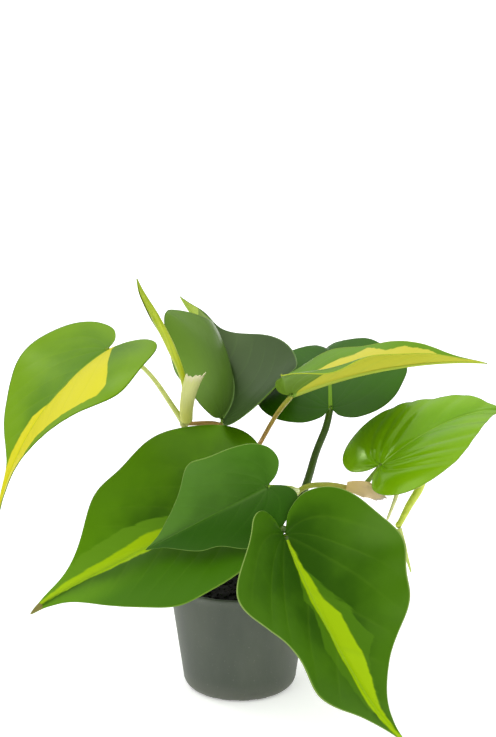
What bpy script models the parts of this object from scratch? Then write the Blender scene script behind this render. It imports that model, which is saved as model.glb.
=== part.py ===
"""Heartleaf philodendron with lime-striped leaves, in a small plastic nursery pot.

Metres, +Z up. The origin is the middle of the pot's underside, and -Y is the side that faces
the viewer. Driving dimensions are in millimetres and degrees, and every solid is made in
millimetres and scaled once, when its mesh is made.
"""

import math

import bmesh
import bpy
import numpy as np

MM = 0.001
GAP = 0.3

# Pot: a thin tapered cup on a notched foot ring, with a flat pad in the middle of its underside
RIM_RADIUS = 30.0
POT_HEIGHT = 48.0
FOOT_RADIUS = 20.0
CORNER_RADIUS = 24.0
CORNER_HEIGHT = 4.5
WALL = 1.2
LIP_ROUND = 0.4
FOOT_HEIGHT = 1.2
FOOT_WIDTH = 3.5
PAD_RADIUS = 8.0
FLOOR_THICKNESS = 1.4
NOTCH_COUNT = 18
NOTCH_WIDTH = 3.2
NOTCH_HEIGHT = 0.9
DRAIN_COUNT = 6
DRAIN_RADIUS = 2.5
DRAIN_CIRCLE = 12.5
POT_SIDES = 72

# Soil: fills the pot to a few millimetres below the rim, with an uneven top
SOIL_EDGE_HEIGHT = 41.5
SOIL_CROWN = 1.5
SOIL_BUMP = 0.5
SOIL_SIDES = 36

# Leaf blades
BLADE = 0.8
BLADE_ROWS = 18
BLADE_COLUMNS = 4
BLADE_MERGE = 0.1
LEFT, RIGHT = 1, -1

# Half of a flat heart: distance along the midrib and half width, as shares of the length
HEART = [
    (0.0, 0.0), (-0.09, 0.055), (-0.145, 0.16), (-0.12, 0.29), (-0.02, 0.385), (0.14, 0.42),
    (0.33, 0.385), (0.52, 0.28), (0.68, 0.16), (0.81, 0.07), (0.91, 0.027), (1.0, 0.0),
]
WIDEST = 0.42
RIB_START = 0.35
RIB_POWER = 1.35
LOBE_REACH = 0.2
HOOK_START = 0.7
WAVE_SPAN = 0.16
SWELL_SPAN = 0.12


class Leaf:
    """One heart-shaped blade: where its notch is, which way it points, its size and its bends.

    heading turns about +Z from +X, pitch lifts the midrib, roll lifts the left side. droop,
    sweep and twist bend the midrib down, to the left and about itself over its length, hook
    bends the last third further, and lobes_up lifts the two lobes behind the notch. left and
    right give each half's fold up from the midrib and its further curl toward the margin.
    waves lift a margin and swells widen it: side, place along the midrib, share.
    """

    def __init__(self, at, heading, pitch, roll, length, width, droop, sweep, twist, hook,
                 left, right, lobes_up=0, waves=(), swells=()):
        self.at = at
        self.heading = heading
        self.pitch = pitch
        self.roll = roll
        self.length = length
        self.width = width
        self.droop = droop
        self.sweep = sweep
        self.twist = twist
        self.hook = hook
        self.left = left
        self.right = right
        self.lobes_up = lobes_up
        self.waves = waves
        self.swells = swells

    def axes(self):
        """Unit vectors at the notch: along the midrib, to its left, and out of the upper face."""
        heading, pitch, roll = np.radians((self.heading, self.pitch, self.roll))
        along = np.array((math.cos(heading) * math.cos(pitch),
                          math.sin(heading) * math.cos(pitch),
                          math.sin(pitch)))
        level = np.array((-math.sin(heading), math.cos(heading), 0.0))
        upright = np.cross(along, level)
        left = level * math.cos(roll) + upright * math.sin(roll)
        return along, left, np.cross(along, left)

    def petiole_end(self, radius):
        """Middle of a stalk's round end that stops a gap short of the blade's underside."""
        _, _, up = self.axes()
        return tuple(np.array(self.at) - up * (BLADE / 2 + GAP + radius))


LEAVES = {
    "leaf_upper_left": Leaf(
        (-53, -10, 148), heading=221, pitch=-19, roll=0, length=83, width=60,
        droop=55, sweep=0, twist=12, hook=2, left=(12, -16), right=(8, 5),
        waves=[(LEFT, 0.25, -0.06), (RIGHT, 0.25, 0.03)],
        swells=[(LEFT, 0.6, -0.15), (LEFT, 0.77, -0.4), (RIGHT, 0.8, -0.5)]),
    "leaf_lower_left": Leaf(
        (2, -14, 87), heading=187, pitch=-26, roll=-33, length=101, width=75,
        droop=2, sweep=0, twist=-36, hook=21, left=(23, -16), right=(21, -7),
        waves=[(RIGHT, 0.25, 0.06)],
        swells=[(LEFT, 0.45, 0.1), (LEFT, 0.68, 0.12), (RIGHT, 0.55, 0.2), (RIGHT, 0.8, -0.2)]),
    "leaf_small_front": Leaf(
        (11, -40, 100), heading=189, pitch=-26, roll=-61, length=61, width=40,
        droop=43, sweep=-7, twist=3, hook=-2, left=(6, -24), right=(17, -3),
        waves=[(RIGHT, 0.25, 0.06)],
        swells=[(LEFT, -0.05, -0.2), (LEFT, 0.45, -0.2), (RIGHT, 0.4, 0.25)]),
    "leaf_lower_right": Leaf(
        (18, -49, 83), heading=-33, pitch=-64, roll=11, length=92, width=72,
        droop=-26, sweep=-4, twist=12, hook=-19, left=(41, -5), right=(14, -4),
        waves=[(LEFT, 0.25, 0.11), (LEFT, 0.62, 0.07), (RIGHT, 0.55, 0.05)],
        swells=[(LEFT, 0.5, 0.22), (RIGHT, -0.1, -0.3), (RIGHT, 0.15, 0.15), (RIGHT, 0.42, -0.12),
                (RIGHT, 0.7, 0.6), (RIGHT, 0.85, 0.4)]),
    "leaf_right": Leaf(
        (58, -8, 99), heading=24, pitch=35, roll=14, length=73, width=49,
        droop=50, sweep=4, twist=14, hook=28, left=(18, -36), right=(21, -44),
        waves=[(LEFT, 0.62, -0.04), (RIGHT, 0.62, 0.06)],
        swells=[(LEFT, 0.75, 0.5)]),
    "leaf_folded_right": Leaf(
        (21, -20, 132), heading=1, pitch=22, roll=-15, length=79, width=45,
        droop=24, sweep=0, twist=5, hook=2, left=(46, -49), right=(47, -46), lobes_up=600,
        waves=[(LEFT, 0.25, 0.05), (RIGHT, 0.25, -0.07), (LEFT, 0.62, 0.1), (RIGHT, 0.62, -0.07)],
        swells=[(LEFT, 0.75, 0.35)]),
    "leaf_back_right": Leaf(
        (38, 14, 117), heading=88, pitch=20, roll=-4, length=87, width=64,
        droop=31, sweep=5, twist=1, hook=26, left=(20, -32), right=(28, -28),
        waves=[(LEFT, 0.25, -0.07), (RIGHT, 0.62, 0.05)],
        swells=[(RIGHT, 0.2, 0.08)]),
    "leaf_upper_middle": Leaf(
        (-7, 12, 113), heading=70, pitch=11, roll=-18, length=92, width=68,
        droop=-42, sweep=60, twist=7, hook=-40, left=(109, -97), right=(1, 38),
        waves=[(LEFT, 0.25, 0.2), (LEFT, 0.5, 0.12), (RIGHT, 0.25, -0.06)],
        swells=[(LEFT, 0.45, 0.24), (LEFT, 0.7, -0.05), (LEFT, 0.93, 1.2), (RIGHT, 0.75, -0.35),
                (RIGHT, 0.93, 1.2)]),
}

# Vines: stems and leaf stalks by the points that they pass, with the radius at both ends
STEM_SIDES = 8
STEM_STEP = 5.0
VINES = {
    "vine_left": dict(
        foot=(-8, 10), radius=1.5,
        stem=[(-8, 10, 44), (-9, 12, 62), (-7, 14, 84), (-6, 17, 102), (-9, 13, 110), (-23, 7, 112)],
        stem_end=0.9,
        knots=[((-9, 12, 62), 2.1), ((-7, 16, 106), 1.7), ((-23, 7, 112), 2.1)],
        stalks=[
            ("leaf_lower_left", [(-9, 12, 62), (-6, 6, 71), (0, -3, 79)], 1.4, 1.1),
            ("leaf_upper_middle", [(-7, 16, 106), (-7, 15, 110)], 1.1, 0.9),
            ("leaf_upper_left", [(-23, 7, 112), (-27, 5, 119), (-35, -3, 134), (-42, -7, 142)],
             1.3, 0.9),
        ]),
    "vine_middle": dict(
        foot=(3, 9), radius=1.8,
        stem=[(3, 9, 44), (3, 9, 54), (4, 9, 64)],
        stem_end=1.6,
        knots=[((3, 9, 54), 2.4), ((4, 9, 64), 2.4)],
        stalks=[
            ("leaf_small_front", [(3, 9, 54), (8, 0, 64), (15, -12, 78), (23, -18, 90), (22, -28, 95),
                                  (19, -35, 98)], 1.3, 0.9),
            ("leaf_folded_right", [(4, 9, 64), (3, 12, 82), (5, 9, 96), (9, 2, 106), (15, -8, 120)],
             1.3, 1.0),
            ("leaf_back_right", [(4, 9, 64), (16, 8, 71), (26, 7, 81), (32, 9, 99), (36, 11, 109)], 2.0, 1.6),
        ]),
    "vine_right": dict(
        foot=(13, -3), radius=1.5,
        stem=[(13, -3, 44), (14, -4, 58), (18, -4, 75), (25, -5, 87), (36, -7, 90), (50, -8, 88),
              (60, -5, 88), (69, -2, 93), (75, -2, 89), (70, -3, 79), (66, -4, 71)],
        stem_end=1.7,
        knots=[((14, -4, 58), 2.1), ((50, -8, 88), 2.0), ((75, -2, 89), 2.2), ((66, -4, 72), 2.1)],
        stalks=[
            ("leaf_lower_right", [(14, -4, 58), (18, -18, 62), (22, -34, 67), (22, -43, 74)], 1.4, 1.1),
            ("leaf_right", [(50, -8, 88), (53, -7.5, 92)], 1.2, 1.0),
        ]),
}
STEM_HOLE_GAP = 0.3
STEM_FOOT = 31.0

# Rolled new leaf, hanging shoot tip, aerial root and papery sheaths
SPEAR_POINTS = [(-22.5, 4.8, 114.2), (-23, 3, 131), (-28, -2, 147), (-34, -4, 160), (-39, -5, 170),
                (-41, -5, 176)]
SPEAR_RADII = [0.9, 1.0, 1.8, 1.8, 0.9, 0.3]
SHOOT_POINTS = [(66.5, -6.3, 69.6), (68, -9, 64), (71, -10, 53)]
SHOOT_RADII = [1.2, 1.2, 0.4]
ROOT_POINTS = [(65, -3, 90), (65, -4, 85), (61, -6, 74)]
ROOT_RADII = [1.0, 1.0, 0.8]
SHEATH = 0.7
SHEATH_LEFT_POINTS = [(-22, 5.5, 114.5), (-21.5, 0, 124), (-18, -2, 135)]
SHEATH_LEFT_RADII = [2.6, 3.0, 4.2]
SHEATH_RIGHT_POINTS = [(44, -9, 90), (52, -10, 89), (60, -10, 84)]
SHEATH_RIGHT_RADII = [2.0, 3.6, 1.2]
SHEATH_WRAP = 150


def clear_scene():
    for obj in list(bpy.data.objects):
        bpy.data.objects.remove(obj)


def finish_material(name, colour, roughness):
    material = bpy.data.materials.new(name)
    material.use_nodes = True
    shader = material.node_tree.nodes["Principled BSDF"]
    shader.inputs["Base Color"].default_value = (*colour, 1.0)
    shader.inputs["Roughness"].default_value = roughness
    shader.inputs["Metallic"].default_value = 0.0
    return material


def add_solid(name, bm, material):
    """Links a bmesh made in millimetres as an object in metres, with its faces pointing out."""
    bmesh.ops.scale(bm, vec=(MM, MM, MM), verts=bm.verts)
    bmesh.ops.recalc_face_normals(bm, faces=bm.faces)
    mesh = bpy.data.meshes.new(name)
    bm.to_mesh(mesh)
    bm.free()
    mesh.shade_smooth()
    mesh.set_sharp_from_angle(angle=math.radians(40))
    if material:
        mesh.materials.append(material)
    obj = bpy.data.objects.new(name, mesh)
    bpy.context.scene.collection.objects.link(obj)
    return obj


def boolean(body, tools, operation):
    """Joins or cuts body with the tools, keeps the result as its mesh and removes the tools."""
    group = bpy.data.collections.new(body.name + "_tools")
    bpy.context.scene.collection.children.link(group)
    for tool in tools:
        bpy.context.scene.collection.objects.unlink(tool)
        group.objects.link(tool)
    modifier = body.modifiers.new("boolean", "BOOLEAN")
    modifier.operation = operation
    modifier.operand_type = "COLLECTION"
    modifier.collection = group
    graph = bpy.context.evaluated_depsgraph_get()
    result = bpy.data.meshes.new_from_object(body.evaluated_get(graph))
    body.modifiers.clear()
    body.data = result
    for tool in tools:
        bpy.data.objects.remove(tool)
    bpy.data.collections.remove(group)


def turned(profile, sides):
    """A bmesh turned about +Z from a closed profile of radius and height pairs."""
    bm = bmesh.new()
    points = [bm.verts.new((radius, 0, height)) for radius, height in profile]
    edges = [bm.edges.new(pair) for pair in zip(points, points[1:])]
    bmesh.ops.spin(bm, geom=points + edges, axis=(0, 0, 1), cent=(0, 0, 0),
                   angle=2 * math.pi, steps=sides, use_merge=True)
    bmesh.ops.remove_doubles(bm, verts=bm.verts, dist=0.001)
    return bm


def arc(centre, radius, start, end, steps):
    """Points of a circle's arc, angles in degrees from the first axis."""
    angles = np.radians(np.linspace(start, end, steps + 1))
    return [(centre[0] + radius * math.cos(a), centre[1] + radius * math.sin(a)) for a in angles]


def outer_radius(height):
    """Radius of the pot's outside, straight from its bottom corner to the rim."""
    share = (height - CORNER_HEIGHT) / (POT_HEIGHT - CORNER_HEIGHT)
    return CORNER_RADIUS + (RIM_RADIUS - CORNER_RADIUS) * share


def make_pot(material):
    floor_top = FOOT_HEIGHT + FLOOR_THICKNESS
    inside_corner = outer_radius(floor_top + 3) - WALL
    corner = arc((FOOT_RADIUS, CORNER_HEIGHT), CORNER_HEIGHT, -90, 0, 5)
    stretch = (CORNER_RADIUS - FOOT_RADIUS) / CORNER_HEIGHT
    outside = [(FOOT_RADIUS + (radius - FOOT_RADIUS) * stretch, height) for radius, height in corner]
    lip_outside = [(RIM_RADIUS - 0.05, POT_HEIGHT - LIP_ROUND), (RIM_RADIUS - LIP_ROUND, POT_HEIGHT)]
    lip_inside = [(RIM_RADIUS - WALL + LIP_ROUND, POT_HEIGHT), (RIM_RADIUS - WALL, POT_HEIGHT - LIP_ROUND)]
    inside = [(inside_corner, floor_top + 3), (inside_corner - 2.5, floor_top), (0, floor_top)]
    underside = [(0, 0), (PAD_RADIUS, 0), (PAD_RADIUS, FOOT_HEIGHT),
                 (FOOT_RADIUS - FOOT_WIDTH, FOOT_HEIGHT), (FOOT_RADIUS - FOOT_WIDTH, 0)]
    profile = underside + outside + lip_outside + lip_inside + inside
    pot = add_solid("pot", turned(profile, POT_SIDES), material)
    cutters = []
    for index in range(DRAIN_COUNT):
        angle = 2 * math.pi * (index + 0.5) / DRAIN_COUNT
        bm = bmesh.new()
        bmesh.ops.create_cone(bm, cap_ends=True, segments=16, radius1=DRAIN_RADIUS,
                              radius2=DRAIN_RADIUS, depth=4 * FLOOR_THICKNESS)
        bmesh.ops.translate(bm, verts=bm.verts, vec=(DRAIN_CIRCLE * math.cos(angle),
                                                     DRAIN_CIRCLE * math.sin(angle), floor_top))
        cutters.append(add_solid("drain", bm, None))
    for index in range(NOTCH_COUNT):
        angle = 360 * (index + 0.25) / NOTCH_COUNT
        cutters.append(add_notch_cutter(angle))
    boolean(pot, cutters, "DIFFERENCE")
    return pot


def add_notch_cutter(angle):
    """A radial box that cuts one small notch into the foot ring's outer edge."""
    bm = bmesh.new()
    bmesh.ops.create_cube(bm, size=1)
    bmesh.ops.scale(bm, vec=(8, NOTCH_WIDTH, 2 * NOTCH_HEIGHT), verts=bm.verts)
    bmesh.ops.translate(bm, vec=(FOOT_RADIUS + 2.2, 0, 0), verts=bm.verts)
    turn = math.radians(angle)
    for vert in bm.verts:
        x, y, z = vert.co
        vert.co = (x * math.cos(turn) - y * math.sin(turn), x * math.sin(turn) + y * math.cos(turn), z)
    return add_solid("notch", bm, None)


def soil_height(x, y):
    """Uneven top: a low crown with a few slow bumps that fade out at the edge."""
    share = min(math.hypot(x, y) / RIM_RADIUS, 1.0)
    bumps = math.sin(0.45 * x + 1.0) * math.cos(0.38 * y) + 0.6 * math.sin(0.8 * y - 0.5 * x)
    return SOIL_EDGE_HEIGHT + (SOIL_CROWN + SOIL_BUMP * bumps) * (1 - share**2)


def make_soil(material):
    bottom = FOOT_HEIGHT + FLOOR_THICKNESS + GAP
    side = WALL + GAP + 0.1
    low, low_radius = bottom + 3.2, outer_radius(bottom + 2.9) - side
    top_radius = outer_radius(SOIL_EDGE_HEIGHT) - side
    profile = [(0, bottom), (low_radius - 2.9, bottom), (low_radius, low), (top_radius, SOIL_EDGE_HEIGHT)]
    profile += [(top_radius * share, SOIL_EDGE_HEIGHT) for share in (0.8, 0.6, 0.4, 0.2, 0.0)]
    bm = turned(profile, SOIL_SIDES)
    for vert in bm.verts:
        if vert.co.z > SOIL_EDGE_HEIGHT - 0.01:
            vert.co.z = soil_height(vert.co.x, vert.co.y)
    bmesh.ops.triangulate(bm, faces=bm.faces)
    soil = add_solid("soil", bm, material)
    holes = []
    for vine in VINES.values():
        bm = bmesh.new()
        radius = vine["radius"] + STEM_HOLE_GAP
        bmesh.ops.create_cone(bm, cap_ends=True, segments=12, radius1=radius, radius2=radius, depth=40)
        bmesh.ops.translate(bm, verts=bm.verts, vec=(*vine["foot"], STEM_FOOT - GAP + 20))
        holes.append(add_solid("stem_hole", bm, None))
    boolean(soil, holes, "DIFFERENCE")
    return soil


def smooth_path(points, shares):
    """Catmull-Rom curve through the points, read at shares of the way from first to last."""
    points = np.array(points, float)
    spans = len(points) - 1
    ends = np.vstack([2 * points[0] - points[1], points, 2 * points[-1] - points[-2]])
    place = np.clip(np.asarray(shares, float) * spans, 0, spans - 1e-9)
    index = place.astype(int)
    t = (place - index)[:, None]
    a, b, c, d = ends[index], ends[index + 1], ends[index + 2], ends[index + 3]
    return 0.5 * (2 * b + (c - a) * t + (2 * a - 5 * b + 4 * c - d) * t**2 + (3 * b - a - 3 * c + d) * t**3)


def blade_grid(leaf, rows, columns):
    """Points of the blade's middle surface, notch to tip by left margin to right margin.

    The first row is the edge of the notch, which runs out from the end of the midrib.
    """
    along_margin = np.linspace(1 / rows, 1, rows)
    margin = smooth_path(HEART, along_margin)
    foot = np.clip((along_margin - RIB_START) / (1 - RIB_START), 0, 1) ** RIB_POWER
    across = np.linspace(1, -1, 2 * columns + 1)
    u = foot[:, None] * (1 - np.abs(across)) + margin[:, :1] * np.abs(across)
    side = np.sign(across) * np.ones_like(u)
    half = margin[:, 1:] * np.abs(across)
    for where, place, share in leaf.swells:
        half = half * (1 + share * np.exp(-((u - place) / SWELL_SPAN) ** 2) * (side == where))
    widest = leaf.width / 2
    half = half * widest / WIDEST
    middle, left, up = midrib(leaf, u.ravel())
    half, side, u = half.ravel(), side.ravel(), u.ravel()
    fold = np.radians(np.where(side > 0, leaf.left[0], leaf.right[0]))
    bend = np.radians(np.where(side > 0, leaf.left[1], leaf.right[1])) / widest
    bend = np.where(np.abs(bend) < 1e-6, 1e-6, bend)
    turn = fold + bend * half
    out = (np.sin(turn) - np.sin(fold)) / bend
    lift = (np.cos(fold) - np.cos(turn)) / bend
    for where, place, share in leaf.waves:
        wave = share * leaf.length * np.exp(-((u - place) / WAVE_SPAN) ** 2)
        lift = lift + wave * (half / widest) ** 2 * (side == where)
    points = middle + left * (out * side)[:, None] + up * lift[:, None]
    return points.reshape(rows, 2 * columns + 1, 3)


def midrib(leaf, u):
    """Point, left direction and upper normal of the bent midrib at each share u of its length."""
    share = np.linspace(-LOBE_REACH, 1, 121)
    tip = np.clip((share - HOOK_START) / (1 - HOOK_START), 0, 1) ** 2
    dip = np.radians(leaf.droop * share + leaf.hook * tip - leaf.lobes_up * np.minimum(share, 0))
    sway = np.radians(leaf.sweep * share)[:, None]
    twist = np.radians(leaf.twist * share)[:, None]
    dip = dip[:, None]
    along, left, up = leaf.axes()
    forward = np.cos(dip) * (np.cos(sway) * along + np.sin(sway) * left) - np.sin(dip) * up
    aside = np.cos(sway) * left - np.sin(sway) * along
    above = np.cross(forward, aside)
    left_now = aside * np.cos(twist) + above * np.sin(twist)
    up_now = above * np.cos(twist) - aside * np.sin(twist)
    steps = (forward[1:] + forward[:-1]) / 2 * leaf.length * (share[1] - share[0])
    points = np.vstack([np.zeros(3), np.cumsum(steps, axis=0)])
    points += np.array(leaf.at) - read_along(points, share, np.zeros(1))
    return read_along(points, share, u), read_along(left_now, share, u), read_along(up_now, share, u)


def read_along(values, share, u):
    return np.stack([np.interp(u, share, values[:, axis]) for axis in range(3)], axis=-1)


def make_leaf(name, leaf, material):
    """The bent blade as one sheet of triangles, thickened evenly to both sides."""
    grid = blade_grid(leaf, BLADE_ROWS, BLADE_COLUMNS)
    bm = bmesh.new()
    rows = [[bm.verts.new(point) for point in row] for row in grid]
    for row, following in zip(rows, rows[1:]):
        for index in range(len(row) - 1):
            bm.faces.new((row[index], following[index], following[index + 1], row[index + 1]))
    bmesh.ops.remove_doubles(bm, verts=bm.verts, dist=BLADE_MERGE)
    bmesh.ops.dissolve_degenerate(bm, edges=bm.edges, dist=BLADE_MERGE / 10)
    bmesh.ops.triangulate(bm, faces=bm.faces)
    blade = add_solid(name, bm, material)
    sheet = blade.modifiers.new("thickness", "SOLIDIFY")
    sheet.thickness = BLADE * MM
    sheet.offset = 0
    return blade


def tube(name, points, radii, material=None, sides=STEM_SIDES, round_end=True):
    """A solid of round section along a smooth path, with a flat start and a rounded end."""
    length = sum(math.dist(a, b) for a, b in zip(points, points[1:]))
    count = max(4, round(length / STEM_STEP) + 1)
    shares = np.linspace(0, 1, count)
    path = smooth_path(points, shares)
    widths = np.interp(shares, np.linspace(0, 1, len(radii)), radii)
    tangents = np.gradient(path, axis=0)
    tangents /= np.linalg.norm(tangents, axis=1)[:, None]
    if round_end:
        for share in (0.6, 0.9):
            path = np.vstack([path, path[count - 1] + tangents[-1] * widths[count - 1] * share])
            widths = np.append(widths, widths[count - 1] * math.sqrt(1 - share**2))
        tangents = np.vstack([tangents, tangents[-1], tangents[-1]])
    bm = bmesh.new()
    rings = []
    reference = np.array((0.0, 1.0, 0.0)) if abs(tangents[0][1]) < 0.9 else np.array((1.0, 0.0, 0.0))
    for point, tangent, width in zip(path, tangents, widths):
        reference = reference - tangent * reference.dot(tangent)
        reference /= np.linalg.norm(reference)
        other = np.cross(tangent, reference)
        ring = []
        for index in range(sides):
            angle = 2 * math.pi * index / sides
            ring.append(bm.verts.new(point + width * (math.cos(angle) * reference + math.sin(angle) * other)))
        rings.append(ring)
    for ring, following in zip(rings, rings[1:]):
        for index in range(sides):
            after = (index + 1) % sides
            bm.faces.new((ring[index], ring[after], following[after], following[index]))
    bm.faces.new(rings[0])
    bm.faces.new(rings[-1])
    bmesh.ops.triangulate(bm, faces=bm.faces)
    return add_solid(name, bm, material)


def knot(centre, radius):
    bm = bmesh.new()
    bmesh.ops.create_icosphere(bm, subdivisions=1, radius=radius)
    bmesh.ops.translate(bm, verts=bm.verts, vec=centre)
    return add_solid("knot", bm, None)


def make_vine(name, vine, material):
    """A stem that stands in its soil hole, with its knots and leaf stalks joined into one body."""
    foot = [(*vine["foot"], STEM_FOOT), (*vine["foot"], STEM_FOOT + 6)]
    points = foot + vine["stem"]
    radii = [vine["radius"]] * (len(points) - 2) + [vine["stem_end"]] * 2
    stem = tube(name, points, radii, material)
    pieces = [knot(*entry) for entry in vine["knots"]]
    for leaf_name, route, start, end in vine["stalks"]:
        route = route + [LEAVES[leaf_name].petiole_end(end)]
        pieces.append(tube("stalk", route, [start, end], None))
    if name == "vine_right":
        pieces.append(tube("root", ROOT_POINTS, ROOT_RADII, None, sides=6))
    boolean(stem, pieces, "UNION")
    return stem


def make_sheath(name, points, radii, facing, material):
    """A papery half tube around part of a stem, open on the side away from facing."""
    shares = np.linspace(0, 1, 6)
    path = smooth_path(points, shares)
    widths = np.interp(shares, np.linspace(0, 1, len(radii)), radii)
    tangents = np.gradient(path, axis=0)
    bm = bmesh.new()
    rows = []
    for point, tangent, width in zip(path, tangents, widths):
        tangent = tangent / np.linalg.norm(tangent)
        front = np.array(facing, float)
        front -= tangent * front.dot(tangent)
        front /= np.linalg.norm(front)
        aside = np.cross(tangent, front)
        row = []
        for angle in np.radians(np.linspace(-SHEATH_WRAP / 2, SHEATH_WRAP / 2, 7)):
            row.append(bm.verts.new(point + width * (math.cos(angle) * front + math.sin(angle) * aside)))
        rows.append(row)
    for row, following in zip(rows, rows[1:]):
        for index in range(len(row) - 1):
            bm.faces.new((row[index], row[index + 1], following[index + 1], following[index]))
    bmesh.ops.triangulate(bm, faces=bm.faces)
    sheath = add_solid(name, bm, material)
    sheet = sheath.modifiers.new("thickness", "SOLIDIFY")
    sheet.thickness = SHEATH * MM
    sheet.offset = 0
    return sheath


def main():
    clear_scene()
    plastic = finish_material("pot plastic", (0.09, 0.1, 0.09), 0.6)
    earth = finish_material("soil", (0.03, 0.022, 0.016), 0.95)
    leaf_green = finish_material("leaf green", (0.07, 0.2, 0.02), 0.35)
    stem_green = finish_material("stem green", (0.2, 0.33, 0.06), 0.45)
    young_green = finish_material("young green", (0.45, 0.55, 0.06), 0.4)
    papery = finish_material("papery sheath", (0.6, 0.55, 0.38), 0.6)
    make_pot(plastic)
    make_soil(earth)
    for name, leaf in LEAVES.items():
        make_leaf(name, leaf, leaf_green)
    for name, vine in VINES.items():
        make_vine(name, vine, stem_green)
    tube("new_leaf", SPEAR_POINTS, SPEAR_RADII, young_green)
    tube("shoot_tip", SHOOT_POINTS, SHOOT_RADII, young_green)
    make_sheath("sheath_left", SHEATH_LEFT_POINTS, SHEATH_LEFT_RADII, (0.2, -1, 0), papery)
    make_sheath("sheath_right", SHEATH_RIGHT_POINTS, SHEATH_RIGHT_RADII, (0, -1, 0.1), papery)


main()
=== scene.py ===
# %% [markdown]
# # A young heartleaf philodendron in its nursery pot
# The plant stands in a small dark pot on a plain white floor. Eight leaves hang from three thin
# vines, a new leaf is still rolled up like a spear, and dry sheaths cling to the youngest
# growth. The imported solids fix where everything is. This lesson lays the visible surfaces on
# them: thin bent blades with their veins and stripes, stems that flow into each other, moulded
# plastic and loose soil.

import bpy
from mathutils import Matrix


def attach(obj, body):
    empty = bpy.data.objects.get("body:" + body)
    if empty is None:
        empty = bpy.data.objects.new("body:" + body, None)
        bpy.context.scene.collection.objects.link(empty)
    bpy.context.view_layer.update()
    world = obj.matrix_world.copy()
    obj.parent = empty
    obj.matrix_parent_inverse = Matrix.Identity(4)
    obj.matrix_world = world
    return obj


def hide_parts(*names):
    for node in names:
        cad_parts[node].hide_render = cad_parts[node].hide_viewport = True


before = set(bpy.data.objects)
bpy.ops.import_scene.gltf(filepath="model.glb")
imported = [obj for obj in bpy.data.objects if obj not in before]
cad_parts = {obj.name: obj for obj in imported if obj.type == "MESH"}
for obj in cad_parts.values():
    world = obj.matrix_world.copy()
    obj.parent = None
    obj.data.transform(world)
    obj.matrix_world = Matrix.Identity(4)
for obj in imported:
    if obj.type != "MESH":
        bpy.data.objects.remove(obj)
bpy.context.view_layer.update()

# %% Imports and units
import math

import bmesh
import bpy
import numpy as np
from mathutils import Matrix, Vector

MM = 0.001
LEFT, RIGHT = 1, -1

# %% [markdown]
# ## Shader maths as Python expressions
# A pattern such as a stripe that follows a vein is a formula on the leaf's own flat
# coordinates. Wiring such a formula node by node hides what it says. The small class below
# wraps one socket, so that a formula is written as one, and every operator adds its Math node.


# %% A socket that takes Python's operators
class Wire:
    """One socket of a node tree."""

    def __init__(self, tree, socket=None):
        self.tree = tree
        self.socket = socket

    def node(self, kind, sockets=None, output=0, **settings):
        """Adds any node: its settings first, then the values or links of its sockets."""
        made = self.tree.nodes.new("ShaderNode" + kind)
        for name, value in settings.items():
            setattr(made, name, value)
        for name, value in (sockets or {}).items():
            plug(self.tree, made.inputs[name], value)
        return Wire(self.tree, made.outputs[output])

    def maths(self, operation, *values):
        return self.node("Math", dict(enumerate(values)), operation=operation)

    def __add__(self, other):
        return self.maths("ADD", self, other)

    def __sub__(self, other):
        return self.maths("SUBTRACT", self, other)

    def __mul__(self, other):
        return self.maths("MULTIPLY", self, other)

    def __truediv__(self, other):
        return self.maths("DIVIDE", self, other)

    def __rsub__(self, other):
        return self.maths("SUBTRACT", other, self)

    __radd__ = __add__
    __rmul__ = __mul__

    def __abs__(self):
        return self.maths("ABSOLUTE", self)

    def ramp(self, low, high):
        """0 below low, 1 above high, and smooth between them."""
        sockets = {"Value": self, "From Min": low, "From Max": high}
        return self.node("MapRange", sockets, interpolation_type="SMOOTHSTEP")

    def mix(self, first, second, blend="MIX"):
        """The colour first where this is 0, and second where it is 1."""
        made = self.tree.nodes.new("ShaderNodeMix")
        made.data_type = "RGBA"
        made.blend_type = blend
        plug(self.tree, made.inputs["Factor"], self)
        plug(self.tree, made.inputs[6], first)
        plug(self.tree, made.inputs[7], second)
        return Wire(self.tree, made.outputs[2])


def plug(tree, socket, value):
    """Links a wire to a socket, or sets the socket's value."""
    if isinstance(value, Wire):
        tree.links.new(value.socket, socket)
    elif isinstance(value, tuple) and len(value) == 3 and socket.type == "RGBA":
        socket.default_value = (*value, 1.0)
    else:
        socket.default_value = value


# %% A line through points, read inside a material
def line_height(x, points):
    """Height of the line through points of place and height, at the wire x from -1 to 1."""
    top = max(0.01, *(abs(height) for _, height in points))
    node = x.tree.nodes.new("ShaderNodeValToRGB")
    plug(x.tree, node.inputs["Fac"], x * 0.5 + 0.5)
    stops = node.color_ramp.elements
    while len(stops) > 1:
        stops.remove(stops[0])
    for index, (place, height) in enumerate(points):
        stop = stops[0] if index == 0 else stops.new((place + 1) / 2)
        stop.position = (place + 1) / 2
        stop.color = (*(0.5 + height / top / 2,) * 3, 1.0)
    red = x.node("SeparateColor", {"Color": Wire(x.tree, node.outputs["Color"])})
    return (red - 0.5) * (2 * top)


# %% A new material, and colours
def new_material(name, roughness=0.5, **constants):
    """A material with one Principled shader. Returns it, its shader and a wire to start from."""
    material = bpy.data.materials.new(name)
    material.use_nodes = True
    shader = material.node_tree.nodes["Principled BSDF"]
    shader.inputs["Roughness"].default_value = roughness
    for socket, value in constants.items():
        shader.inputs[socket.replace("_", " ")].default_value = value
    return material, shader, Wire(material.node_tree)


def srgb(red, green, blue):
    """A colour from the 0 to 255 numbers that a picture shows, as the shader's linear light."""
    return tuple(((c / 255 + 0.055) / 1.055) ** 2.4 if c > 10 else c / 255 / 12.92
                 for c in (red, green, blue))


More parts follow.
